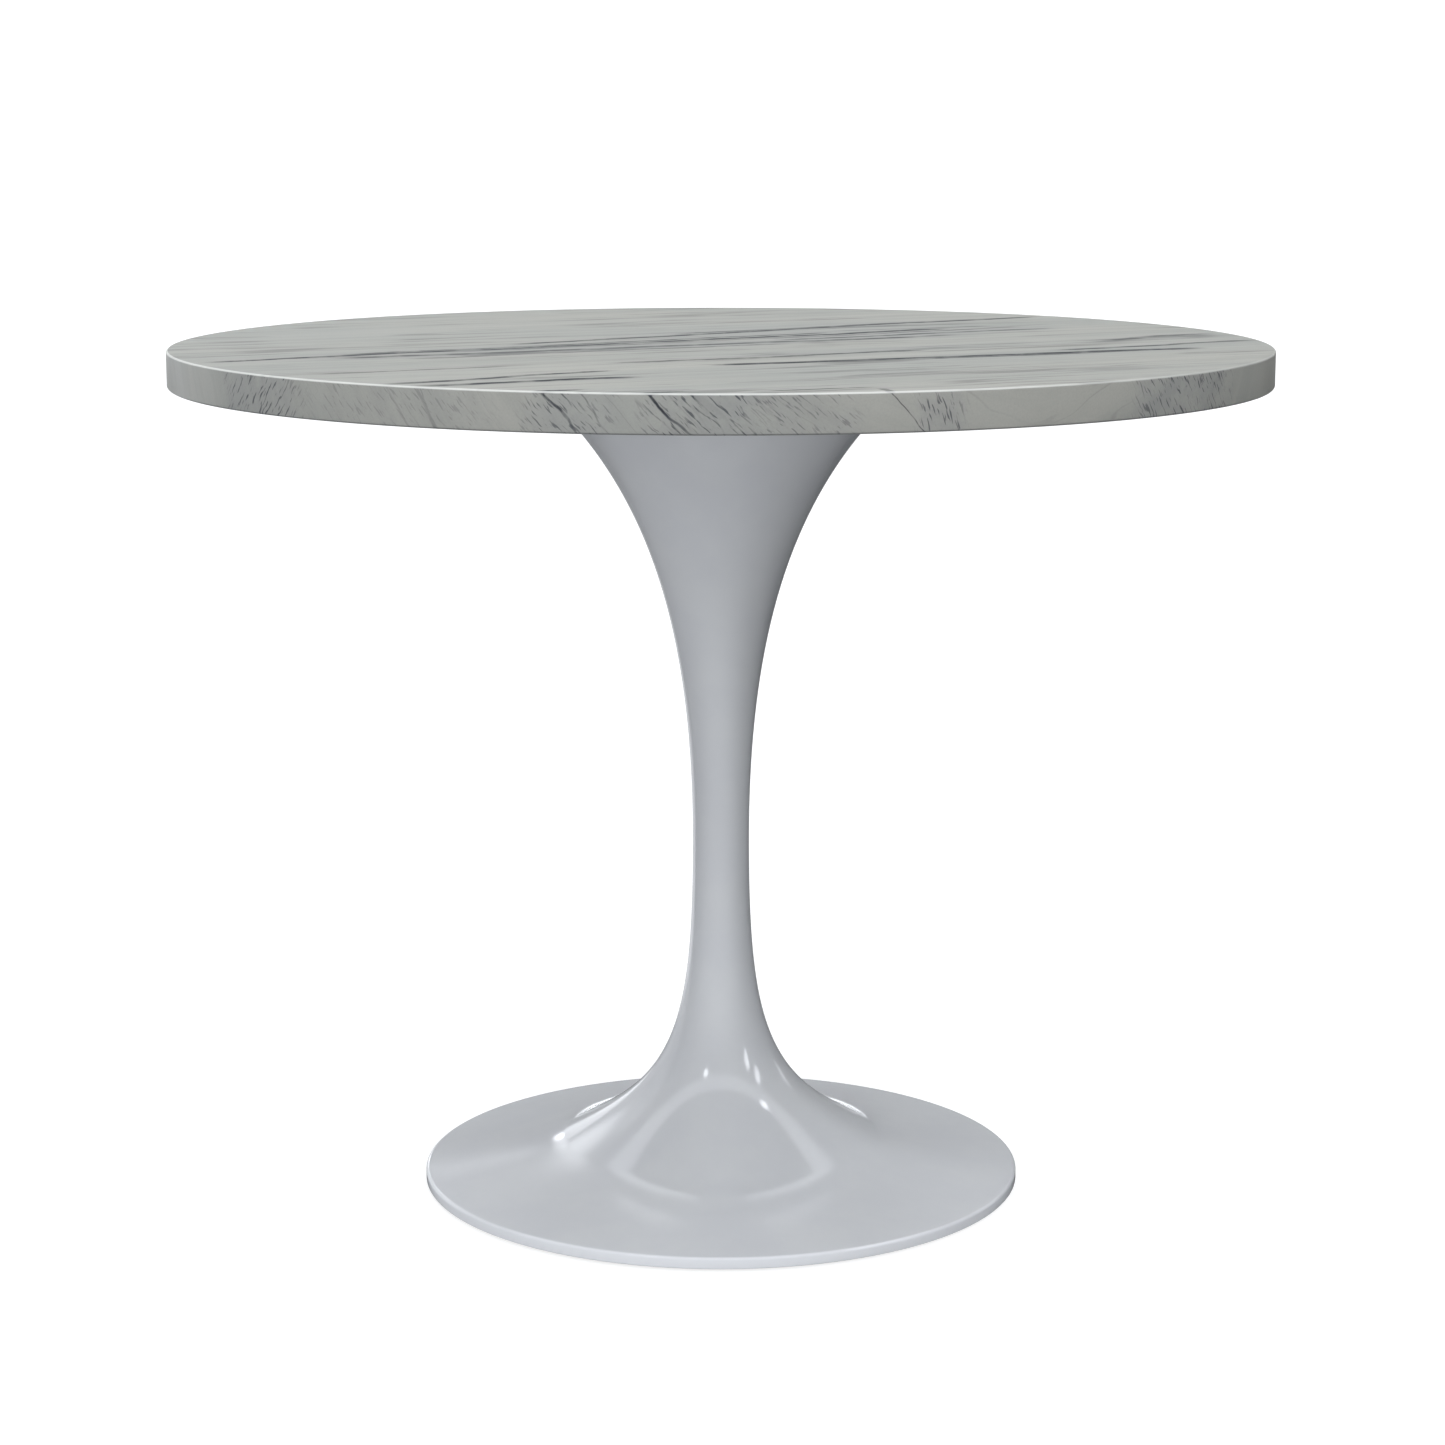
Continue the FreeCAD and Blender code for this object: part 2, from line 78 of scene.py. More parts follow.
# %% [markdown]
# ## Helpers for nodes and colours
#
# A paint chart gives colours as sRGB hex values, but shaders calculate with linear light, so one function
# turns a hex value into linear numbers. Another adds a node, with its settings and its links, in one line.
# An input is either a number or the output of an earlier node. Sums and soft steps are needed most, by the
# light and by every finish, so those two get a short name of their own.


# %% Colour and node helpers
def linear(hex_colour):
    """(r, g, b, 1) in linear light from an sRGB hex value such as 'c8cdd2'."""
    channels = [int(hex_colour[i:i + 2], 16) / 255 for i in (0, 2, 4)]
    return tuple(c / 12.92 if c <= 0.04045 else ((c + 0.055) / 1.055) ** 2.4 for c in channels) + (1.0,)


def add(tree, kind, inputs=(), **settings):
    """Adds a node. inputs is {socket name or number: value or output socket}. Returns the node."""
    node = tree.nodes.new(kind)
    for name, value in settings.items():
        setattr(node, name, value)
    for key, value in dict(inputs).items():
        socket = node.inputs[key]
        if isinstance(value, bpy.types.NodeSocket):
            tree.links.new(value, socket)
        else:
            socket.default_value = value
    return node


def calc(tree, operation, *values, clamp=False):
    """One sum, such as MULTIPLY or MAXIMUM, on numbers or outputs."""
    made = add(tree, "ShaderNodeMath", dict(enumerate(values)), operation=operation, use_clamp=clamp)
    return made.outputs[0]


def ramp(tree, value, low, high, to_low=0.0, to_high=1.0):
    """value carried smoothly from low..high to to_low..to_high, and held beyond them."""
    return add(tree, "ShaderNodeMapRange", {"Value": value, "From Min": low, "From Max": high,
                                            "To Min": to_low, "To Max": to_high},
               interpolation_type="SMOOTHSTEP").outputs[0]


def new_material(name):
    """An empty node tree with an output node. Returns the material and its tree."""
    material = bpy.data.materials.new(name)
    material.use_nodes = True
    material.node_tree.nodes.clear()
    return material, material.node_tree


def finish_material(tree, shader):
    add(tree, "ShaderNodeOutputMaterial", {"Surface": shader.outputs[0]})


print("white enamel in linear light:", [round(c, 3) for c in linear("d1d2d3")[:3]])

# %% [markdown]
# ## The studio
#
# The table stands on a white sweep: a floor that turns up into a wall all round, so no horizon shows.
# The sweep is only there for the camera. The light comes from the world instead, as it would from large
# cloth-covered panels, and the pale floor would otherwise reflect in the enamel and wash its outline out.

# %% Sweep
SWEEP_RADIUS = 9.0
SWEEP_WALL = 4.0         # height
SWEEP_BEND = 2.0         # radius of the upturn
SWEEP_BEND_STEPS = 8
SWEEP_GLOW = 0.78


def make_sweep():
    """Disc floor with a rounded upturn, made by turning one outline about Z."""
    mesh = bmesh.new()
    outline = [Vector((0, 0, 0)), Vector((SWEEP_RADIUS - SWEEP_BEND, 0, 0))]
    for i in range(1, SWEEP_BEND_STEPS + 1):
        angle = radians(90 * i / SWEEP_BEND_STEPS)
        outline.append(Vector((SWEEP_RADIUS - SWEEP_BEND + SWEEP_BEND * sin(angle), 0,
                               SWEEP_BEND - SWEEP_BEND * cos(angle))))
    outline.append(Vector((SWEEP_RADIUS, 0, SWEEP_WALL)))
    verts = [mesh.verts.new(p) for p in outline]
    edges = [mesh.edges.new(pair) for pair in zip(verts, verts[1:])]
    bmesh.ops.spin(mesh, geom=verts + edges, cent=(0, 0, 0), axis=(0, 0, 1), dvec=(0, 0, 0),
                   angle=2 * pi, steps=64, use_merge=True, use_normal_flip=False, use_duplicate=False)
    bmesh.ops.remove_doubles(mesh, verts=mesh.verts, dist=1e-5)
    data = bpy.data.meshes.new("sweep")
    mesh.to_mesh(data)
    mesh.free()
    for face in data.polygons:
        face.use_smooth = True
    sweep = bpy.data.objects.new("sweep", data)
    bpy.context.scene.collection.objects.link(sweep)
    return sweep


def sweep_paper():
    """Matt white paper that glows a little, so that it stays white and only the softest shadow shows."""
    material, tree = new_material("white_sweep_paper")
    paper = add(tree, "ShaderNodeBsdfDiffuse", {"Color": linear("9a9a9a")})
    glow = add(tree, "ShaderNodeEmission", {"Color": linear("ffffff"), "Strength": SWEEP_GLOW})
    both = add(tree, "ShaderNodeAddShader", {0: paper.outputs[0], 1: glow.outputs[0]})
    clear = add(tree, "ShaderNodeBsdfTransparent")
    side = add(tree, "ShaderNodeNewGeometry")
    shader = add(tree, "ShaderNodeMixShader",
                 {0: side.outputs["Backfacing"], 1: both.outputs[0], 2: clear.outputs[0]})
    finish_material(tree, shader)
    return material


sweep = make_sweep()
sweep.data.materials.append(sweep_paper())
for ray in ("visible_diffuse", "visible_glossy", "visible_transmission", "visible_shadow"):
    setattr(sweep, ray, False)
print("sweep faces:", len(sweep.data.polygons))

# %% [markdown]
# ## The light
#
# The world is a function of direction. It is a grey room with a white ceiling ring: the slab hides the
# middle of the ceiling from the foot, so the glossy foot shows only the ring, as a bright loop. A wide
# soft panel behind the camera fills the front. A large round panel with a bright core stands behind the
# table on the left and makes the long highlight on the flare. The room is dark on the right, which shades
# the stem, and a few small lamps make the sparkles. Each panel is a soft-edged patch of directions, and a
# panel with a brightness below zero is a black cloth that takes light away.

# %% World light
# azimuth (0 is straight behind the table and grows to the right), elevation, half width, half height,
# softness as a part of the size, how square the patch is (2 is round), and the brightness it adds.
PANELS = {
    "front_fill": (-173, -6, 60, 28, 0.6, 2, 1.10),
    "back_wall": (0, 31, 75, 13, 0.5, 2, 0.42),
    "behind_the_stem": (0, 35, 13, 9, 0.5, 2, -0.26),
    "left_round_panel": (-45, 12, 24, 25, 0.12, 2, 0.6),
    "left_panel_core": (-17.5, 9, 3.6, 13, 0.25, 3, 1.5),
    "left_panel_spot": (-14.8, 13, 1.8, 2.4, 0.4, 2, 4.5),
    "left_panel_top": (-24, 27, 9, 8, 0.5, 2, 1.6),
    "left_floor_strip": (-32, -12, 16, 2.5, 0.5, 4, 1.0),
    "white_floor_behind": (0, -5.9, 7.5, 0.8, 0.4, 4, 3.4),
    "behind": (-2, 5, 20, 9, 0.9, 2, 0.18),
    "lamp_right_high": (103, 36, 5, 6, 0.4, 2, 9.0),
    "lamp_right_low": (122, 30, 5, 6.5, 0.4, 2, 9.0),
    "lamp_right_top": (91, 54, 6, 2.4, 0.4, 2, 14.0),
    "lamp_front_left": (-147, 42, 5, 2.8, 0.4, 2, 14.0),
    "faint_right": (52, 17, 5, 5, 0.6, 2, 2.0),
    "faint_left": (-10.6, 18.5, 1.6, 1.6, 0.8, 2, 0.5),
    "window_left": (-6.4, 38.1, 3.3, 0.6, 0.4, 6, 1.5),
    "window_right": (6.4, 38.1, 3.3, 0.6, 0.4, 6, 1.5),
    "dark_right": (86, -10, 70, 46, 0.6, 2, -0.33),
    "dark_floor_behind": (-4, -38, 34, 22, 0.4, 2, -0.30),
    "dark_corner": (45, -8, 18, 9, 0.4, 2, -0.26),
}
ROOM_LOW, ROOM_HIGH = 0.34, 0.30     # the room's own brightness, straight down and high up
RING = (45.0, 56.0, 2.5, 1.75)       # from, to, softness in degrees, brightness
CEILING = 1.36                       # what the ceiling inside the ring adds
DARKEST = 0.02                       # black cloths never take the room below this


def patch(tree, azimuth, elevation, panel):
    """How much light one panel adds in each direction."""
    at_azimuth, at_elevation, wide, high, softness, squareness, strength = panel
    turned = calc(tree, "WRAP", calc(tree, "SUBTRACT", azimuth, at_azimuth), 180.0, -180.0)
    sideways = calc(tree, "ABSOLUTE", turned)
    upwards = calc(tree, "ABSOLUTE", calc(tree, "SUBTRACT", elevation, at_elevation))
    reach = calc(tree, "ADD", calc(tree, "POWER", calc(tree, "DIVIDE", sideways, wide), squareness),
                 calc(tree, "POWER", calc(tree, "DIVIDE", upwards, high), squareness))
    rim = calc(tree, "POWER", reach, 1 / squareness)
    return calc(tree, "MULTIPLY", ramp(tree, rim, 1 - softness, 1 + softness, 1.0, 0.0), strength)


def studio_light():
    world = bpy.data.worlds.new("studio")
    bpy.context.scene.world = world
    world.use_nodes = True
    tree = world.node_tree
    tree.nodes.clear()

    ray = add(tree, "ShaderNodeSeparateXYZ", {0: add(tree, "ShaderNodeTexCoord").outputs["Generated"]})
    azimuth = calc(tree, "DEGREES", calc(tree, "ARCTAN2", ray.outputs["X"], ray.outputs["Y"]))
    elevation = calc(tree, "DEGREES", calc(tree, "ARCSINE", ray.outputs["Z"]))
    start, end, soft, bright = RING
    ring_start = ramp(tree, elevation, start - soft, start + soft)
    ring_end = ramp(tree, elevation, end - soft, end + soft, 1.0, 0.0)
    level = ramp(tree, elevation, -90.0, 60.0, ROOM_LOW, ROOM_HIGH)
    level = calc(tree, "MULTIPLY_ADD", calc(tree, "MULTIPLY", ring_start, ring_end), bright, level)
    level = calc(tree, "ADD", level, ramp(tree, elevation, end - soft, end + soft, 0.0, CEILING))
    for panel in PANELS.values():
        level = calc(tree, "ADD", level, patch(tree, azimuth, elevation, panel))
    level = calc(tree, "MAXIMUM", level, DARKEST)
    light = add(tree, "ShaderNodeBackground", {"Color": linear("f7faff"), "Strength": level})
    add(tree, "ShaderNodeOutputWorld", {"Surface": light.outputs[0]})


studio_light()
bpy.context.scene.view_settings.view_transform = "Standard"
bpy.context.scene.view_settings.look = "None"
print("light panels:", len(PANELS))

# %% [markdown]
# ## The marble slab
#
# A slab like this is sawn, cut round and polished, and its two arrises are eased with a small round so they
# don't chip. A circle with a filled face, pushed up by the slab's thickness and bevelled on both rims, is
# that same sequence. The bevel is real geometry because the bright line along the slab's top edge is the
# light that this little round catches.

# %% Slab mesh
ARRIS = 2 * MM
slab_low, slab_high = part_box("table_top")
SLAB_RADIUS = (slab_high.x - slab_low.x) / 2
SLAB_STEPS = 256
ARRIS_STEPS = 5


def smooth_by_angle(data, limit):
    """Smooth faces, with a hard edge wherever two faces meet at more than the limit."""
    data.polygons.foreach_set("use_smooth", [True] * len(data.polygons))
    data.set_sharp_from_angle(angle=radians(limit))


def object_from(mesh, name, limit=30):
    """Turns a bmesh into a smooth-shaded object in the scene."""
    bmesh.ops.recalc_face_normals(mesh, faces=mesh.faces)
    data = bpy.data.meshes.new(name)
    mesh.to_mesh(data)
    mesh.free()
    smooth_by_angle(data, limit)
    piece = bpy.data.objects.new(name, data)
    bpy.context.scene.collection.objects.link(piece)
    return piece


def make_slab():
    mesh = bmesh.new()
    bmesh.ops.create_circle(mesh, cap_ends=True, radius=SLAB_RADIUS, segments=SLAB_STEPS,
                            matrix=Matrix.Translation((0, 0, slab_low.z)))
    raised = bmesh.ops.extrude_face_region(mesh, geom=mesh.faces[:])["geom"]
    bmesh.ops.translate(mesh, verts=[v for v in raised if isinstance(v, bmesh.types.BMVert)],
                        vec=(0, 0, slab_high.z - slab_low.z))
    rims = [e for e in mesh.edges if abs(e.verts[0].co.z - e.verts[1].co.z) < 1e-6]
    bmesh.ops.bevel(mesh, geom=rims, offset=ARRIS, offset_type="OFFSET", affect="EDGES",
                    segments=ARRIS_STEPS, profile=0.5, material=-1)
    return object_from(mesh, "marble_slab")


slab = make_slab()
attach(slab, TABLE)
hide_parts("table_top")
print("slab faces:", len(slab.data.polygons), " radius mm:", round(SLAB_RADIUS / MM, 1))

# %% [markdown]
# ## The pedestal's outline
#
# The casting is a lathe shape in three sweeps: the foot, which starts thin at its rim and steepens inwards,
# the lower trumpet up to the narrow waist, and the upper trumpet up to the mouth under the slab. Each sweep
# is one smooth Bezier curve, because a glossy enamel shows every kink in an outline as a kink in its
# highlights. The inside follows the outside at the wall's thickness, so rim and mouth have a true edge.

# %% Outline, as (radius, height) pairs in millimetres
WAIST = Vector((24.0, 300.0))
MOUTH = Vector((158.5, 689.0))
MOUTH_SLOPE = radians(41.5)
FLARE_FOOT = Vector((134.5, 36.5))       # where the trumpet runs out into the foot
FLARE_SLOPE = radians(28.0)
FLARE_KNEE = Vector((37.5, 91.0))        # pole that pulls the trumpet in above the foot
RIM_RADIUS = 256.0
RIM_HEIGHT = 11.9
RIM_SLOPE = radians(8.7)
RIM_ROUND = 3.0
RIM_BOTTOM = 2.0
LIP = 6.0
LIP_ROUND = 1.0
WALL = 5.0
# How far each end of a sweep keeps its slope before the curve takes over.
RIM_PULL = 36.0
FOOT_PULL = 21.0
FLARE_PULL = 50.0
WAIST_PULL_DOWN = 162.5
WAIST_PULL_UP = 199.0
MOUTH_PULL = 117.0


def uphill(slope):
    """Unit step inwards and up at a slope."""
    return Vector((-cos(slope), sin(slope)))


def curve(poles, steps):
    """Points of a Bezier curve, each found by repeated sharing between neighbouring poles."""
    points = []
    for i in range(steps + 1):
        level = poles
        while len(level) > 1:
            level = [a.lerp(b, i / steps) for a, b in zip(level, level[1:])]
        points.append(level[0])
    return points


def arc(centre, radius, first, last, steps):
    """Points of an arc; angles in radians from the radius axis towards the height axis."""
    turns = [first + (last - first) * i / steps for i in range(steps + 1)]
    return [Vector((centre[0] + radius * cos(a), centre[1] + radius * sin(a))) for a in turns]


def inset(poles):
    """The poles moved inwards by the wall's thickness, each square to its neighbours' line."""
    moved = []
    for i, pole in enumerate(poles):
        along = (poles[min(i + 1, len(poles) - 1)] - poles[max(i - 1, 0)]).normalized()
        moved.append(pole - WALL * Vector((along.y, -along.x)))
    return moved


rim_edge = Vector((RIM_RADIUS - RIM_ROUND + RIM_ROUND * sin(RIM_SLOPE), RIM_HEIGHT))
foot_poles = [rim_edge, rim_edge + RIM_PULL * uphill(RIM_SLOPE),
              FLARE_FOOT - FOOT_PULL * uphill(FLARE_SLOPE), FLARE_FOOT]
lower_poles = [FLARE_FOOT, FLARE_FOOT + FLARE_PULL * uphill(FLARE_SLOPE), FLARE_KNEE,
               WAIST - Vector((0, WAIST_PULL_DOWN)), WAIST]
upper_poles = [WAIST, WAIST + Vector((0, WAIST_PULL_UP)),
               MOUTH - MOUTH_PULL * Vector((cos(MOUTH_SLOPE), sin(MOUTH_SLOPE))), MOUTH]


def outside():
    """The enamelled side, from the rim's lip on the floor up to the mouth."""
    rim_top = pi / 2 - RIM_SLOPE
    rim_centre = (RIM_RADIUS - RIM_ROUND, RIM_HEIGHT - RIM_ROUND * sin(rim_top))
    lip_centre = (RIM_RADIUS - LIP_ROUND, RIM_BOTTOM + LIP_ROUND)
    return (arc(lip_centre, LIP_ROUND, -pi / 2, 0, 4) + arc(rim_centre, RIM_ROUND, 0, rim_top, 10)
            + curve(foot_poles, 56)[1:] + curve(lower_poles, 64)[1:] + curve(upper_poles, 56)[1:])


def inside():
    """The hidden side, from the mouth down to the lip."""
    points = curve(inset(upper_poles), 40)[::-1] + curve(inset(lower_poles), 40)[-2::-1]
    below = [p for p in points if p.y < MOUTH.y]
    above = points[len(points) - len(below) - 1]
    mouth = above.lerp(below[0], (above.y - MOUTH.y) / (above.y - below[0].y))
    lip = Vector((RIM_RADIUS - LIP, rim_edge.y + (rim_edge.x - RIM_RADIUS + LIP) * tan(RIM_SLOPE)
                  - WALL / cos(RIM_SLOPE)))
    under = inset(foot_poles)[:1:-1] + [lip + RIM_PULL * uphill(RIM_SLOPE), lip]
    return [mouth] + below + curve(under, 30)[1:] + [Vector((RIM_RADIUS - LIP, RIM_BOTTOM))]


outline = outside() + inside()
heights = [p.y for p in outline]
print("outline points:", len(outline), " lowest and highest:", min(heights), max(heights))

# %% [markdown]
# ## Turning the pedestal
#
# The outline is spun about Z, as on a lathe. The webs inside the foot are separate closed shapes that run
# into the casting's wall: ribs that stiffen it, a land that carries the top plate, a cross wall that the
# tie rod pulls on, and bosses for the screws. They are only seen when the table is turned over.

# %% Pedestal mesh
PEDESTAL_STEPS = 192
LAND = [(112, 675), (145.5, 675), (149, 681), (112, 681)]        # (radius, height) in millimetres
CROSS_WALL = [(9, 60), (72, 60), (69, 66), (9, 66)]
RIBS = 8


def ring(points, steps):
    """A closed outline turned about Z, as its own bmesh."""
    mesh = bmesh.new()
    verts = [mesh.verts.new((p[0] * MM, 0, p[1] * MM)) for p in points]
    edges = [mesh.edges.new((a, b)) for a, b in zip(verts, verts[1:] + verts[:1])]
    bmesh.ops.spin(mesh, geom=verts + edges, cent=(0, 0, 0), axis=(0, 0, 1), dvec=(0, 0, 0),
                   angle=2 * pi, steps=steps, use_merge=True, use_normal_flip=False, use_duplicate=False)
    bmesh.ops.remove_doubles(mesh, verts=mesh.verts, dist=1e-6)
    return mesh


def out_from_axis(radius, degrees):
    """Moves a part out from the axis and turns it to its place round it."""
    return Matrix.Rotation(radians(degrees), 4, "Z") @ Matrix.Translation((radius * MM, 0, 0))


def add_box(mesh, radius, degrees, size, bottom):
    """An upright web; size is (along the radius, across, up) in millimetres."""
    shape = Matrix.Diagonal((size[0] * MM, size[1] * MM, size[2] * MM, 1))
    middle = Matrix.Translation((0, 0, (bottom + size[2] / 2) * MM))
    bmesh.ops.create_cube(mesh, size=1, matrix=out_from_axis(radius, degrees) @ middle @ shape)


def add_boss(mesh, ring_radius, degrees, outer, bore, bottom, top):
    """A round boss with an open bore, made by insetting both ends of a cylinder and bridging the holes."""
    place = out_from_axis(ring_radius, degrees) @ Matrix.Translation((0, 0, (bottom + top) / 2 * MM))
    made = bmesh.ops.create_cone(mesh, cap_ends=True, segments=32, radius1=outer * MM, radius2=outer * MM,
                                 depth=(top - bottom) * MM, matrix=place)
    faces = {f for v in made["verts"] for f in v.link_faces}
    ends = [f for f in faces if len(f.verts) > 4]
    bmesh.ops.inset_individual(mesh, faces=ends, thickness=(outer - bore) * MM)
    rims = [e for f in ends for e in f.edges]
    bmesh.ops.delete(mesh, geom=ends, context="FACES_ONLY")
    bmesh.ops.bridge_loops(mesh, edges=rims)


def make_pedestal():
    mesh = ring(outline, PEDESTAL_STEPS)
    for section in (LAND, CROSS_WALL):
        extra = ring(section, PEDESTAL_STEPS)
        data = bpy.data.meshes.new("web")
        extra.to_mesh(data)
        extra.free()
        mesh.from_mesh(data)
        bpy.data.meshes.remove(data)
    for i in range(RIBS):
        degrees = 360 * (i + 0.5) / RIBS
        add_box(mesh, 181, degrees, size=(42, 5, 14), bottom=5)      # deep part, near the flare
        add_box(mesh, 226, degrees, size=(52, 5, 6), bottom=5)       # shallow part, near the rim
    for i in range(3):                                               # ballast bolts
        add_boss(mesh, 56, 120 * i, outer=9, bore=4.05, bottom=60, top=76)
    for i in range(4):                                               # cover screws, then glides
        add_boss(mesh, 150, 90 * i, outer=6, bore=2.05, bottom=8, top=27)
        add_boss(mesh, 205, 45 + 90 * i, outer=11, bore=6.1, bottom=5.2, top=15.5)
    return object_from(mesh, "enamelled_pedestal", limit=40)


pedestal = make_pedestal()
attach(pedestal, TABLE)
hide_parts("pedestal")
print("pedestal faces:", len(pedestal.data.polygons))

# %% [markdown]
# ## Noise with real sizes
#
# Every finish here is made from noise, so these helpers take their sizes in millimetres. Stone is
# squeezed as it forms, so its noise is drawn out along one bearing. Bending the space before the noise or
# a vein is looked up is what makes a straight thing wander.

# %% Noise helpers
GRAIN_BEARING = radians(27)
LEAN = 0.95          # how far the sheets of the stone lean along the slab for each unit of height


def dot(tree, place, axis):
    """How far a place lies along an axis."""
    return add(tree, "ShaderNodeVectorMath", {0: place, 1: axis}, operation="DOT_PRODUCT").outputs["Value"]


def off_axis(tree, x, y):
    """Distance from the table's axis."""
    return calc(tree, "SQRT", calc(tree, "ADD", calc(tree, "MULTIPLY", x, x), calc(tree, "MULTIPLY", y, y)))


def noise(tree, place, size_mm, detail=3.0, roughness=0.5):
    """Noise whose blobs are about size_mm across. Outputs: factor 0..1 and a random colour."""
    return add(tree, "ShaderNodeTexNoise", {"Vector": place, "Scale": 1 / (size_mm * MM), "Detail": detail,
                                            "Roughness": roughness})


def squeezed(tree, across, along, thickness, detail, roughness):
    """Noise in a space whose three directions are already divided by the sizes wanted."""
    space = add(tree, "ShaderNodeCombineXYZ", {"X": across, "Y": along, "Z": thickness}).outputs[0]
    return add(tree, "ShaderNodeTexNoise", {"Vector": space, "Scale": 1.0, "Detail": detail,
                                            "Roughness": roughness}).outputs[0]


def drawn_out(tree, place, along_mm, across_mm, detail=3.0, roughness=0.55):
    """Noise whose blobs are stretched along the grain of the stone."""
    b = GRAIN_BEARING
    along = calc(tree, "DIVIDE", dot(tree, place, (cos(b), sin(b), 0)), along_mm * MM)
    across = calc(tree, "DIVIDE", dot(tree, place, (-sin(b), cos(b), -LEAN * sin(b))), across_mm * MM)
    height = calc(tree, "DIVIDE", dot(tree, place, (0, 0, 1)), along_mm * MM)
    return squeezed(tree, along, across, height, detail, roughness)


def bent(tree, place, size_mm, reach_mm, detail=2.0):
    """The place pushed about by noise, up to reach_mm each way."""
    cloud = noise(tree, place, size_mm, detail).outputs["Color"]
    push = add(tree, "ShaderNodeVectorMath", {0: cloud, 1: (0.5,) * 3}, operation="SUBTRACT").outputs[0]
    return add(tree, "ShaderNodeVectorMath", {0: push, 1: (2 * reach_mm * MM,) * 3, 2: place},
               operation="MULTIPLY_ADD").outputs[0]


def strongest(tree, values):
    """The largest of several values."""
    top = values[0]
    for value in values[1:]:
        top = calc(tree, "MAXIMUM", top, value)
    return top


def mixed(tree, factor, first, second):
    """Colour mix: first where factor is 0, second where it is 1."""
    made = add(tree, "ShaderNodeMix", data_type="RGBA")
    for socket, value in ((made.inputs[0], factor), (made.inputs[6], first), (made.inputs[7], second)):
        if isinstance(value, bpy.types.NodeSocket):
            tree.links.new(value, socket)
        else:
            socket.default_value = value
    return made.outputs[2]


print("grain runs at", round(GRAIN_BEARING * 180 / pi), "degrees from +X")

# %% [markdown]
# ## Veins in the marble
#
# Marble is limestone that was folded under pressure, and its veins are old cracks that filled with darker
# minerals. A crack is a sheet in the stone, so a vein here is a slightly wavy plane through the whole
# slab: the polished top shows it as a long line, and the edge shows the same sheet cut across, as a
# leaning stroke. The sheets lie flatter than they look, so the top cuts them broadly and the edge cuts
# them thin. Bent space makes them wander, and coarser noise breaks them up. A painted picture of veins
# would be easier to draw, but it could not run from the top over the edge.

# %% Veins
# Each vein: bearing in degrees from +X seen from above, distance of its plane from the table's axis,
# where along its bearing it starts and ends, half width, all in mm, and how dark it is from 0 to 1.
VEINS = [
    (31, 47, -455, 270, 8.5, 0.95),
    (32, 62, -330, 160, 6, 0.75),
    (30, 33, -200, 300, 5, 0.6),
    (36, 98, -150, 440, 8, 0.9),
    (34, 114, 20, 400, 6, 0.65),
    (26, -4, -350, 200, 10, 0.75),
    (27, -26, -300, 60, 6, 0.6),
    (29, 14, 50, 345, 8, 0.75),
    (37, -165, 260, 415, 11, 0.7),
    (31, -201, 185, 415, 8, 0.8),
    (23, -195, -100, 355, 10, 1.0),
    (24, -209, 60, 300, 6, 0.8),
    (29, -135, -180, 120, 8, 0.8),
    (37, -164, -430, -215, 8, 0.9),
    (25, -269, -375, -180, 10, 1.0),
    (29, -115, -425, -240, 6, 0.6),
    (27, -337, -385, -265, 6.5, 1.0),
    (27, -352, -360, -260, 4, 0.8),
    (27, -383, -320, -200, 6, 1.0),
    (27, -398, -300, -195, 4, 0.8),
    (24, -418, -160, -50, 4, 0.8),
    (100, -44, -480, -425, 4, 0.9),
]
# Grey drifts that run beside the veins: bearing, distance, start, end, half width, strength.
DRIFTS = [
    (31, 60, -420, 330, 34, 0.50),
    (27, -4, -380, 260, 30, 0.65),
    (36, -165, 240, 430, 26, 0.55),
    (29, 22, 40, 380, 26, 0.60),
    (24, -198, -40, 360, 16, 0.60),
    (34, 100, -60, 420, 20, 0.45),
]
SLAB_TOP = slab_high.z
SLAB_BOTTOM = slab_low.z
THIN_CUT = 0.17      # how wide a vein is on the edge, beside its width on the top
VEIN_END = 35.0      # mm over which a vein fades out at each end


def vein(tree, place, thin, bearing, offset, start, end, half_width, darkness):
    """How much of one vein there is at a place, 0 to its darkness. thin narrows it on the steep cut."""
    b = radians(bearing)
    across = dot(tree, place, (-sin(b), cos(b), -LEAN * sin(b)))
    away = calc(tree, "ABSOLUTE", calc(tree, "SUBTRACT", across, offset * MM - LEAN * sin(b) * SLAB_TOP))
    away = calc(tree, "DIVIDE", away, thin)
    body = ramp(tree, away, 0.3 * half_width * MM, half_width * MM, darkness, 0.0)
    along = dot(tree, place, (cos(b), sin(b), 0.0))
    ends = min(VEIN_END, (end - start) / 3)
    enters = ramp(tree, along, start * MM, (start + ends) * MM)
    leaves = ramp(tree, along, (end - ends) * MM, end * MM, 1.0, 0.0)
    return calc(tree, "MULTIPLY", calc(tree, "MULTIPLY", enters, leaves), body)


def hairlines(tree, place, gentle, thin, grey):
    """Fine lines where drawn-out noise crosses its middle value. They gather in the grey drifts."""
    middle = calc(tree, "ABSOLUTE", calc(tree, "SUBTRACT", drawn_out(tree, gentle, 700, 46, 4.0, 0.5), 0.5))
    line = ramp(tree, calc(tree, "DIVIDE", middle, thin), 0.004, 0.034, 1.0, 0.0)
    sparse = ramp(tree, noise(tree, place, 110, 2.0).outputs[0], 0.40, 0.62, 0.15, 1.0)
    gathered = calc(tree, "MULTIPLY_ADD", grey, 0.6, 0.34, clamp=True)
    on_top = ramp(tree, thin, THIN_CUT, 1.0, 0.45, 1.0)
    for share in (sparse, gathered, on_top):
        line = calc(tree, "MULTIPLY", line, share)
    return line


print("veins:", len(VEINS), " grey drifts:", len(DRIFTS))

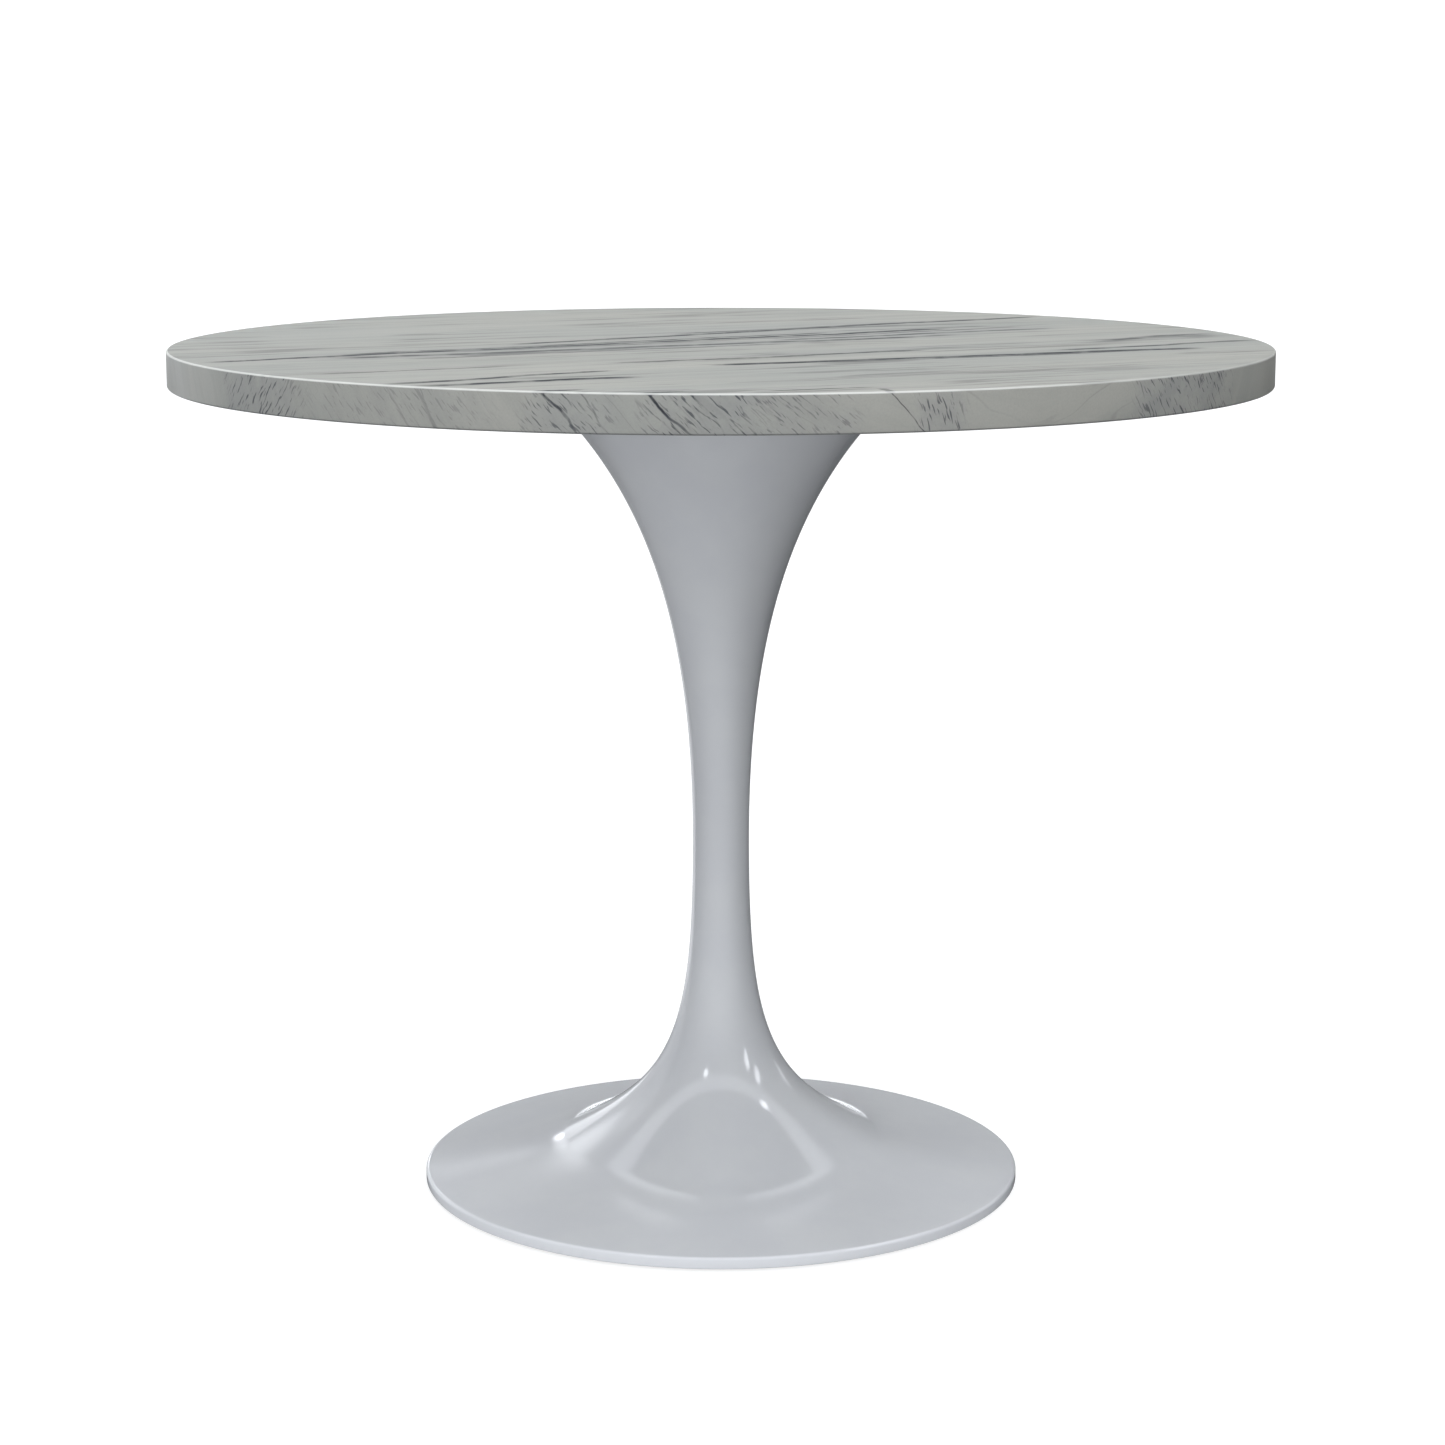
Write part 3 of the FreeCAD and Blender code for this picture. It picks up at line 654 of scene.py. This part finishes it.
# %% [markdown]
# ## The edge of the slab
#
# The edge is ground across the sheets, so grains tear out of it and leave dark pits and short strokes, in
# some places more than in others, with a grey stain round them. The upper eased corner is rubbed pale,
# with a painted highlight on it that fades towards the right, where less light falls, and the lower corner
# is darkened with painted shade.

# %% Edge marks
# Torn places on the ground edge: distance round the rim from the front, to the right, half length, both
# in mm, which way the strokes lean (degrees from upright, positive to the left) and how strong they are.
TORN = [
    (-392, 66, -36, 1.0),
    (-250, 110, 42, 0.3),
    (-110, 44, 43, 0.8),
    (-12, 56, 45, 1.0),
    (60, 50, 47, 0.6),
    (161, 24, 20, 0.9),
    (402, 86, 34, 1.0),
]
STROKE_WIDE, STROKE_LONG = 1.7, 13     # mm


def torn_strokes(tree, place):
    """Short dark strokes in the torn places of the edge, and the stain that surrounds them."""
    x, y, z = add(tree, "ShaderNodeSeparateXYZ", {0: place}).outputs
    turn = calc(tree, "ARCTAN2", x, calc(tree, "MULTIPLY", y, -1.0))
    round_rim = calc(tree, "MULTIPLY", turn, SLAB_RADIUS)
    marks, stains = [], []
    for middle, half, lean, strength in TORN:
        a = radians(lean)
        away = calc(tree, "ABSOLUTE", calc(tree, "SUBTRACT", round_rim, middle * MM))
        here = ramp(tree, away, half * 0.45 * MM, half * MM, strength, 0.0)
        along = calc(tree, "SUBTRACT", calc(tree, "MULTIPLY", z, cos(a)),
                     calc(tree, "MULTIPLY", round_rim, sin(a)))
        across = calc(tree, "ADD", calc(tree, "MULTIPLY", z, sin(a)),
                      calc(tree, "MULTIPLY", round_rim, cos(a)))
        torn = squeezed(tree, calc(tree, "DIVIDE", across, STROKE_WIDE * MM),
                        calc(tree, "DIVIDE", along, STROKE_LONG * MM), 0.0, 1.5, 0.5)
        marks.append(calc(tree, "MULTIPLY", here, ramp(tree, torn, 0.57, 0.64)))
        stains.append(here)
    gathered = ramp(tree, noise(tree, place, 16, 2.0).outputs[0], 0.38, 0.52, 0.45, 1.0)
    return [calc(tree, "MULTIPLY", strongest(tree, values), gathered) for values in (marks, stains)]


def marked_edge(tree, place, colour):
    """The colour with strokes, stain, a painted arris highlight and painted arris shade added. Returns it
    and the strokes, for the relief.
    """
    x, y, z = add(tree, "ShaderNodeSeparateXYZ", {0: place}).outputs
    from_axis = off_axis(tree, x, y)
    below_arris = ramp(tree, z, SLAB_TOP - 1.7 * MM, SLAB_TOP - 1.0 * MM, 1.0, 0.0)
    on_edge = calc(tree, "MULTIPLY", ramp(tree, from_axis, SLAB_RADIUS - 2.2 * MM, SLAB_RADIUS - 0.6 * MM),
                   below_arris)
    strokes, stain = (calc(tree, "MULTIPLY", value, on_edge)
                      for value in torn_strokes(tree, bent(tree, place, 20, 2.5)))
    colour = mixed(tree, calc(tree, "MULTIPLY", stain, 0.18), colour, linear("777981"))
    colour = mixed(tree, calc(tree, "MULTIPLY", strokes, 0.8), colour, linear("4a4c51"))

    # pale rubbed upper arris, plus a painted highlight on it that fades out to the right, where less light
    # falls
    painted_arris_highlight = calc(tree, "MULTIPLY", calc(tree, "SUBTRACT", 1.0, below_arris),
                 ramp(tree, from_axis, SLAB_RADIUS - 1.8 * MM, SLAB_RADIUS - 1.1 * MM))
    painted_arris_highlight = calc(tree, "MULTIPLY", painted_arris_highlight, ramp(tree, x, 0.12, 0.40, 0.65, 0.15))
    colour = mixed(tree, painted_arris_highlight, colour, linear("efefea"))
    # painted shade: the lower arris is darkened where shade falls under the slab's edge
    painted_arris_shade = ramp(tree, z, SLAB_BOTTOM + 0.6 * MM, SLAB_BOTTOM + 1.6 * MM, 0.5, 0.0)
    return mixed(tree, calc(tree, "MULTIPLY", on_edge, painted_arris_shade), colour, linear("55575a")), strokes


print("torn places on the edge:", len(TORN))

# %% [markdown]
# ## The stone itself
#
# Between the veins the stone is a warm pale grey with cooler streaks, clouds and a fine crystal grain.
# Its top has a soft, worn polish that spreads reflections wide, and the edge is a little glossier. The
# reflection is kept weak, because a low view over a strong one would hide the veins.

# %% Marble
PALE, COOL, STREAK = "abaaa2", "a2a39d", "8f908b"
CLOUD, CRYSTAL, DRIFT, VEIN = "b1b0a9", "8b8c88", "8c8e8c", "303237"


def stone_body(tree, place, folded, gentle, grey):
    """Colour of the stone between its veins, and the clouds and grain that its finish follows."""
    streak = ramp(tree, drawn_out(tree, gentle, 300, 16, 5.0, 0.65), 0.36, 0.68)
    drift = ramp(tree, drawn_out(tree, gentle, 420, 90, 3.0), 0.36, 0.66)
    cloud = ramp(tree, noise(tree, folded, 40, 5.0, 0.6).outputs[0], 0.30, 0.72)
    grain = noise(tree, place, 1.4, 2.0).outputs[0]
    stone = mixed(tree, drift, linear(PALE), linear(COOL))
    stone = mixed(tree, calc(tree, "MULTIPLY", streak, 0.42), stone, linear(STREAK))
    stone = mixed(tree, calc(tree, "MULTIPLY", cloud, 0.30), stone, linear(CLOUD))
    stone = mixed(tree, ramp(tree, grain, 0.35, 0.70, 0.0, 0.14), stone, linear(CRYSTAL))
    return mixed(tree, calc(tree, "MULTIPLY", grey, 0.35), stone, linear(DRIFT)), cloud, grain


def marble():
    """Grey-veined marble: long dark lines on a pale ground, a soft sheen, and a torn, stained edge."""
    material, tree = new_material("polished_grey_marble")
    place = add(tree, "ShaderNodeTexCoord").outputs["Object"]
    folded = bent(tree, bent(tree, place, 170, 15), 34, 3.0, detail=3.0)
    gentle = bent(tree, place, 120, 9)
    height = dot(tree, place, (0, 0, 1))
    thin = ramp(tree, height, SLAB_TOP - 1.7 * MM, SLAB_TOP - 1.0 * MM, THIN_CUT, 1.0)

    grey = strongest(tree, [vein(tree, gentle, 1.0, *row) for row in DRIFTS])
    dark = strongest(tree, [vein(tree, folded, thin, *row) for row in VEINS])
    broken = ramp(tree, noise(tree, folded, 30, 4.0, 0.65).outputs[0], 0.34, 0.56, 0.45, 1.0)
    veins = calc(tree, "MAXIMUM", calc(tree, "MULTIPLY", dark, broken),
                 hairlines(tree, place, gentle, thin, grey))
    stone, cloud, grain = stone_body(tree, place, folded, gentle, grey)
    colour, strokes = marked_edge(tree, place, mixed(tree, veins, stone, linear(VEIN)))

    shine = calc(tree, "ADD", ramp(tree, cloud, 0.0, 1.0, 0.28, 0.34),
                 ramp(tree, thin, THIN_CUT, 1.0, 0.0, 0.34))
    relief = calc(tree, "SUBTRACT", calc(tree, "MULTIPLY", grain, 0.1), strokes)
    ripple = add(tree, "ShaderNodeBump", {"Height": relief, "Strength": 0.6, "Distance": 0.5 * MM})
    shader = add(tree, "ShaderNodeBsdfPrincipled",
                 {"Base Color": colour, "Roughness": shine, "IOR": 1.5, "Specular IOR Level": 0.14,
                  "Normal": ripple.outputs[0]})
    finish_material(tree, shader)
    return material


marble_finish = marble()
print("marble nodes:", len(marble_finish.node_tree.nodes))

# %% [markdown]
# ## Enamel, metals, rubber and plastics
#
# The enamel is a cool white with a wet gloss. A sprayed coat is never quite flat: a very low, wide ripple
# makes the long reflections waver a little. Its rim is painted whiter, as painted light for the light that
# the rim catches from the floor in front.
# The steel is zinc plated, so its grey changes from patch to patch. The ballast is rough grey cast iron.
# Brass, rubber and plastic are only seen from below. They are all two close colours in soft patches, so one
# function makes them from a few real numbers.


# %% Other finishes
def coated(name, colour, second, patch_mm, roughness, spread, metallic=0.0, bump_mm=0.0, bump_size=1.0):
    """Two close colours in soft patches, a roughness that varies with them, and a fine texture."""
    material, tree = new_material(name)
    place = add(tree, "ShaderNodeTexCoord").outputs["Object"]
    patches = noise(tree, place, patch_mm, 4.0, 0.55).outputs[0]
    mix = ramp(tree, patches, 0.35, 0.65)
    values = {"Base Color": mixed(tree, mix, linear(colour), linear(second)),
              "Roughness": ramp(tree, patches, 0.3, 0.7, roughness - spread, roughness + spread),
              "Metallic": metallic}
    if bump_mm:
        texture = noise(tree, place, bump_size, 3.0).outputs[0]
        bump = add(tree, "ShaderNodeBump", {"Height": texture, "Strength": 1.0, "Distance": bump_mm * MM})
        values["Normal"] = bump.outputs[0]
    finish_material(tree, add(tree, "ShaderNodeBsdfPrincipled", values))
    return material


RIM_PAINTED_LIGHT = (253.6, 255.4)        # mm from the axis, where the rim's painted light begins and is full


def enamel():
    """Sprayed gloss enamel: a bluish white that shows crisp, slightly wavering reflections."""
    material, tree = new_material("white_gloss_enamel")
    place = add(tree, "ShaderNodeTexCoord").outputs["Object"]
    patches = noise(tree, place, 60, 4.0, 0.55).outputs[0]
    coat = mixed(tree, ramp(tree, patches, 0.35, 0.65), linear("d1d2d3"), linear("cecfd1"))
    x, y, _ = add(tree, "ShaderNodeSeparateXYZ", {0: place}).outputs
    # painted light: the rim's colour is whitened, standing in for the light the rim catches from the floor
    rim = ramp(tree, off_axis(tree, x, y), RIM_PAINTED_LIGHT[0] * MM, RIM_PAINTED_LIGHT[1] * MM, 0.0, 0.6)
    coat = mixed(tree, rim, coat, linear("f0f1f3"))
    peel = noise(tree, place, 9, 3.0).outputs[0]
    wavy = add(tree, "ShaderNodeBump", {"Height": peel, "Strength": 1.0, "Distance": 0.010 * MM})
    shader = add(tree, "ShaderNodeBsdfPrincipled",
                 {"Base Color": coat, "Roughness": ramp(tree, patches, 0.3, 0.7, 0.09, 0.11),
                  "Normal": wavy.outputs[0]})
    finish_material(tree, shader)
    return material


FINISHES = {
    "marble": marble_finish,
    "white_enamel": enamel(),
    # grey metal that breaks its highlights into patches
    "zinc_steel": coated("zinc_plated_steel", "b9bcc0", "a3a7ad", 12, 0.32, 0.08, metallic=1.0),
    # dark and rough, with the skin of the sand mould
    "grey_iron": coated("grey_cast_iron", "4a4b4d", "3a3b3e", 9, 0.68, 0.08, metallic=0.6,
                        bump_mm=0.25, bump_size=3),
    # warm and fairly bright, as it leaves the lathe
    "brass": coated("turned_brass", "c9a35a", "b88f47", 6, 0.30, 0.06, metallic=1.0),
    # almost no shine
    "black_rubber": coated("black_nitrile_rubber", "202122", "191a1b", 10, 0.72, 0.06,
                           bump_mm=0.03, bump_size=1.2),
    # a fine moulded grain with a low sheen
    "black_abs": coated("black_moulded_abs", "26272a", "212225", 14, 0.46, 0.05,
                        bump_mm=0.04, bump_size=0.9),
    # milky and slightly waxy
    "nylon": coated("natural_nylon", "c9c9c4", "c0c0ba", 8, 0.42, 0.05, bump_mm=0.02, bump_size=1.0),
}
for node in nodes.values():
    for index, old in enumerate(node.data.materials):
        node.data.materials[index] = FINISHES[old.name]
slab.data.materials.append(FINISHES["marble"])
pedestal.data.materials.append(FINISHES["white_enamel"])
print("finishes:", ", ".join(m.name for m in FINISHES.values()))
